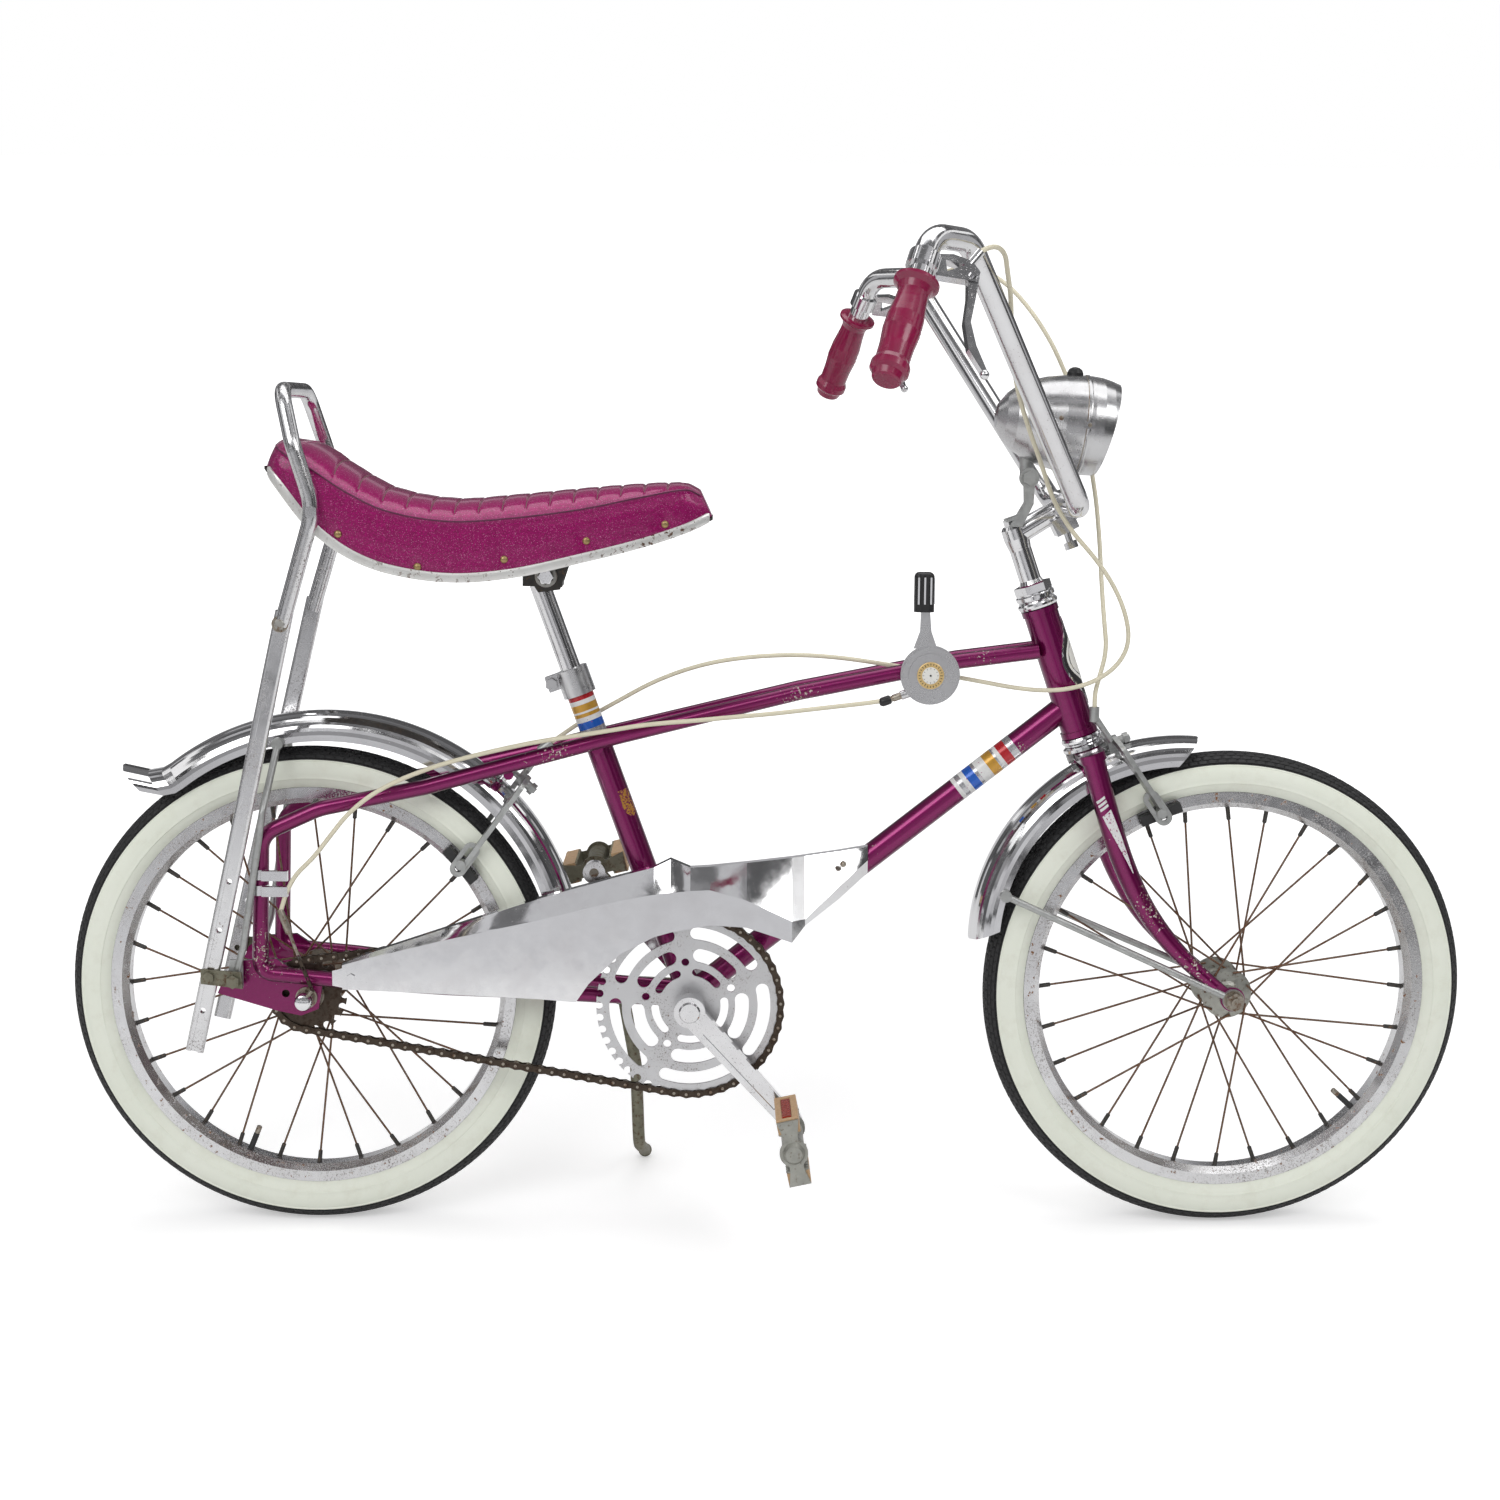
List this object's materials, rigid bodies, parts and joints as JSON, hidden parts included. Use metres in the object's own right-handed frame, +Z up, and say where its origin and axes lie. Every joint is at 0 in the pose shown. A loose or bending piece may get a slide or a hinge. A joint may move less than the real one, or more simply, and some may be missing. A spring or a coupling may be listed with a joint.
{
  "type": "bicycle",
  "caption": "High-rise bicycle with banana seat, looped rear bar, tall swept handlebar, twin-tube frame, full mudguards and chain guard, leaning on its side stand.",
  "frame": {"origin": "centre of the bounding box on the floor the tyres and stand rest on", "axes": "+X forward, +Y to the bicycle's left, +Z up; the bicycle leans to +Y on its stand"},
  "size_m": [1.444, 0.7529, 1.0368],
  "materials": {
    "amber": "gloss",
    "black_plastic": "satin",
    "black_rubber": "matte",
    "cable_cream": "satin",
    "chain_steel": "satin",
    "chrome": "polished",
    "frame_paint": "gloss",
    "glitter_vinyl": "gloss",
    "grip_plastic": "satin",
    "lens": "clear",
    "satin_chrome": "satin",
    "stand_steel": "satin",
    "steel": "satin",
    "steel_dark": "matte",
    "tyre": "matte"
  },
  "bodies": {
    "frame": {"head_cups": "chrome", "seat_post": "chrome", "seat_post_clamp": "chrome", "seat_cushion": "glitter_vinyl", "seat_pan": "steel_dark", "seat_clamp": "steel", "sissy_bar": "chrome", "rear_mudguard_stays": "steel", "rear_mudguard": "chrome", "sissy_bar_brackets": "stand_steel", "rear_axle": "steel", "chain_guard": "chrome", "chain": "chain_steel", "bottom_bracket_cups": "steel", "stand_bracket": "stand_steel", "rear_brake_arms": "steel", "rear_brake_pads": "black_rubber", "shifter_body": "chrome", "shifter_lever": "steel", "shifter_knob": "black_plastic", "rear_brake_cable": "cable_cream", "gear_cable": "cable_cream", "cable_clips": "steel", "main_frame": "frame_paint"},
    "rear_wheel": {"rear_tyre": "tyre", "rear_rim": "chrome", "rear_spokes": "steel", "rear_sprocket": "steel", "rear_hub": "chrome"},
    "front_wheel": {"front_tyre": "tyre", "front_rim": "chrome", "front_spokes": "steel", "front_hub": "chrome"},
    "crankset": {"crank_axle": "steel", "chainring": "chrome", "cranks": "chrome"},
    "pedal_right": {"pedal_spindle_right": "steel", "pedal_body_right": "steel_dark", "pedal_blocks_right": "amber"},
    "pedal_left": {"pedal_spindle_left": "steel", "pedal_body_left": "steel_dark", "pedal_blocks_left": "amber"},
    "stand": {"stand_leg": "stand_steel"},
    "steering": {"fork": "frame_paint", "front_mudguard": "chrome", "headset_nuts": "chrome", "stem": "chrome", "handlebar": "chrome", "grips": "grip_plastic", "brake_levers": "steel", "headlamp_shell": "satin_chrome", "headlamp_lens": "lens", "headlamp_switch": "black_plastic", "headlamp_bracket": "steel", "front_axle": "steel", "front_mudguard_stays": "steel", "front_brake_arms": "steel", "front_brake_pads": "black_rubber", "front_brake_cable": "cable_cream"}
  },
  "joints": [
    {"name": "steering", "type": "hinge", "parent": "frame", "child": "steering", "pos_m": [0.28793, -0.03639, 0.59441], "axis": [-0.3289, 0.1314, 0.9352], "range_deg": [-61.2, 58.8], "deforming": ["rear_brake_cable"]},
    {"name": "front_wheel_spin", "type": "hinge", "parent": "steering", "child": "front_wheel", "pos_m": [0.47202, -0.08388, 0.24762], "axis": [-0.0198, 0.9891, -0.146], "continuous": true},
    {"name": "rear_wheel_spin", "type": "hinge", "parent": "frame", "child": "rear_wheel", "pos_m": [-0.47197, -0.0851, 0.2478], "axis": [0, 0.9903, -0.1392], "continuous": true},
    {"name": "crank_spin", "type": "hinge", "parent": "frame", "child": "crankset", "pos_m": [-0.08297, -0.08649, 0.23789], "axis": [0, 0.9903, -0.1392], "continuous": true},
    {"name": "pedal_right_spin", "type": "hinge", "parent": "crankset", "child": "pedal_right", "pos_m": [0.02074, -0.20155, 0.13774], "axis": [0, 0.9903, -0.1392], "continuous": true},
    {"name": "pedal_left_spin", "type": "hinge", "parent": "crankset", "child": "pedal_left", "pos_m": [-0.18669, 0.02856, 0.33804], "axis": [0, 0.9903, -0.1392], "continuous": true},
    {"name": "side_stand", "type": "hinge", "parent": "frame", "child": "stand", "pos_m": [-0.15597, -0.04178, 0.22555], "axis": [0, 0.9903, -0.1392], "range_deg": [0, 80]}
  ]
}
